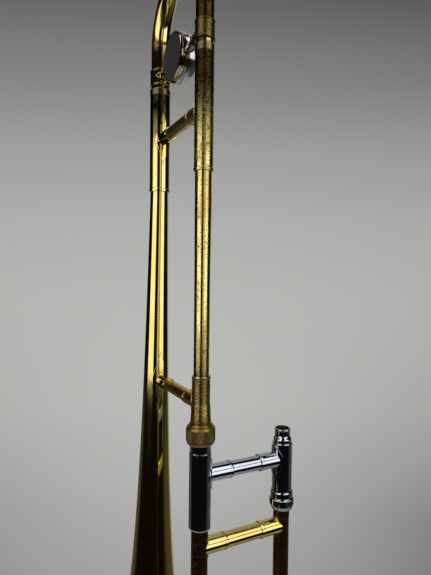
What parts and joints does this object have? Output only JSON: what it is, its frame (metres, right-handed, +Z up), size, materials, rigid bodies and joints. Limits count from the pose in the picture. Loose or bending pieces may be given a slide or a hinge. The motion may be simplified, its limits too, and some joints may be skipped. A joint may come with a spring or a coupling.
{
  "type": "straight tenor trombone",
  "caption": "Straight tenor trombone with a closed hand slide, a tuning slide with a round counterweight, a lock ring and a water key, stored upright with its bell mouth down.",
  "frame": {"origin": "centre of the bell's rim plane, on the bell axis", "axes": "+Z up the bell stem towards the tuning bow; the bell section stands close to the YZ plane, its stem leaning by half a degree, with the gooseneck at -Y; +X towards the mouthpiece leg of the hand slide"},
  "size_m": [0.1878, 0.2084, 1.2034],
  "materials": {
    "polished_brass": "bright polished lacquered brass",
    "aged_brass": "lacquered brass with worn, pitted and speckled lacquer",
    "dull_brass": "bare brown brass, finely knurled",
    "tarnished_brass": "dark tarnished brass with pits",
    "chrome": "bright chrome plate",
    "nickel": "nickel plate with a matt face",
    "steel": "plain steel",
    "cork": "matt cork",
    "rubber": "matt black rubber"
  },
  "bodies": {
    "bell_section": {"bell": "polished_brass", "bell_stem": "polished_brass", "bell_rim_wire": "steel", "bell_tuning_receiver": "polished_brass", "bell_receiver_band": "polished_brass", "neck_tuning_receiver": "aged_brass", "neck_receiver_band": "aged_brass", "gooseneck": "aged_brass", "slide_receiver": "aged_brass", "upper_brace_bell_end": "polished_brass", "upper_brace_neck_end": "aged_brass", "upper_bell_brace": "polished_brass", "lower_brace_bell_end": "polished_brass", "lower_brace_neck_end": "aged_brass", "lower_bell_brace": "polished_brass"},
    "lock_nut": {"lock_nut": "dull_brass"},
    "tuning_slide": {"bell_tuning_leg": "polished_brass", "neck_tuning_leg": "polished_brass", "bell_ferrule": "polished_brass", "neck_ferrule": "aged_brass", "tuning_bow": "polished_brass", "tuning_brace_bell_end": "polished_brass", "tuning_brace_neck_end": "polished_brass", "tuning_brace": "nickel", "counterweight_front": "nickel", "counterweight_back": "nickel", "counterweight_screws": "steel"},
    "inner_slide": {"slide_tenon": "chrome", "lower_cork_barrel": "chrome", "mouthpiece_receiver": "chrome", "upper_cork_barrel": "chrome", "lower_slide_cork": "cork", "upper_slide_cork": "cork", "lower_inner_tube": "chrome", "upper_inner_tube": "chrome", "lower_stocking": "chrome", "upper_stocking": "chrome", "leadpipe": "polished_brass", "inner_brace_lower_end": "chrome", "inner_brace_upper_end": "chrome", "inner_brace": "chrome"},
    "slide_lock": {"slide_lock_ring": "chrome"},
    "outer_slide": {"lower_outer_tube": "tarnished_brass", "upper_outer_tube": "tarnished_brass", "lower_top_sleeve": "tarnished_brass", "upper_top_sleeve": "tarnished_brass", "outer_brace_lower_end": "polished_brass", "outer_brace_upper_end": "polished_brass", "outer_brace": "polished_brass", "end_crook": "tarnished_brass", "lower_crook_ferrule": "tarnished_brass", "upper_crook_ferrule": "tarnished_brass", "bumper_cup": "polished_brass", "rubber_tip": "rubber", "water_key_nipple": "polished_brass", "water_key_saddle": "polished_brass", "water_key_screw": "steel", "water_key_spring": "steel"},
    "water_key": {"water_key_lever": "polished_brass", "water_key_cork": "cork"}
  },
  "joints": [
    {"name": "nut_turn", "type": "hinge", "parent": "bell_section", "child": "lock_nut", "pos_m": [0.0044, -0.1054, 0.3375], "axis": [0, 0, 1], "continuous": true},
    {"name": "tuning_pull", "type": "slide", "parent": "bell_section", "child": "tuning_slide", "axis": [0, 0, 1], "range_m": [-0.003, 0.07]},
    {"name": "slide_swivel", "type": "hinge", "parent": "bell_section", "child": "inner_slide", "pos_m": [0.0044, -0.1054, 0.3375], "axis": [0, 0, 1], "range_deg": [-180, 25]},
    {"name": "lock_turn", "type": "hinge", "parent": "inner_slide", "child": "slide_lock", "pos_m": [0.08776, -0.10787, 0.2645], "axis": [0, 0, 1], "range_deg": [0, 30]},
    {"name": "slide_draw", "type": "slide", "parent": "inner_slide", "child": "outer_slide", "axis": [0, 0, -1], "range_m": [0, 0.58]},
    {"name": "key_press", "type": "hinge", "parent": "outer_slide", "child": "water_key", "pos_m": [0.02009, -0.11687, -0.41886], "axis": [-0.7877, 0.0234, 0.6157], "range_deg": [0, 12], "stiffness_Nm_per_rad": 0.05, "springref_deg": -20.05}
  ]
}
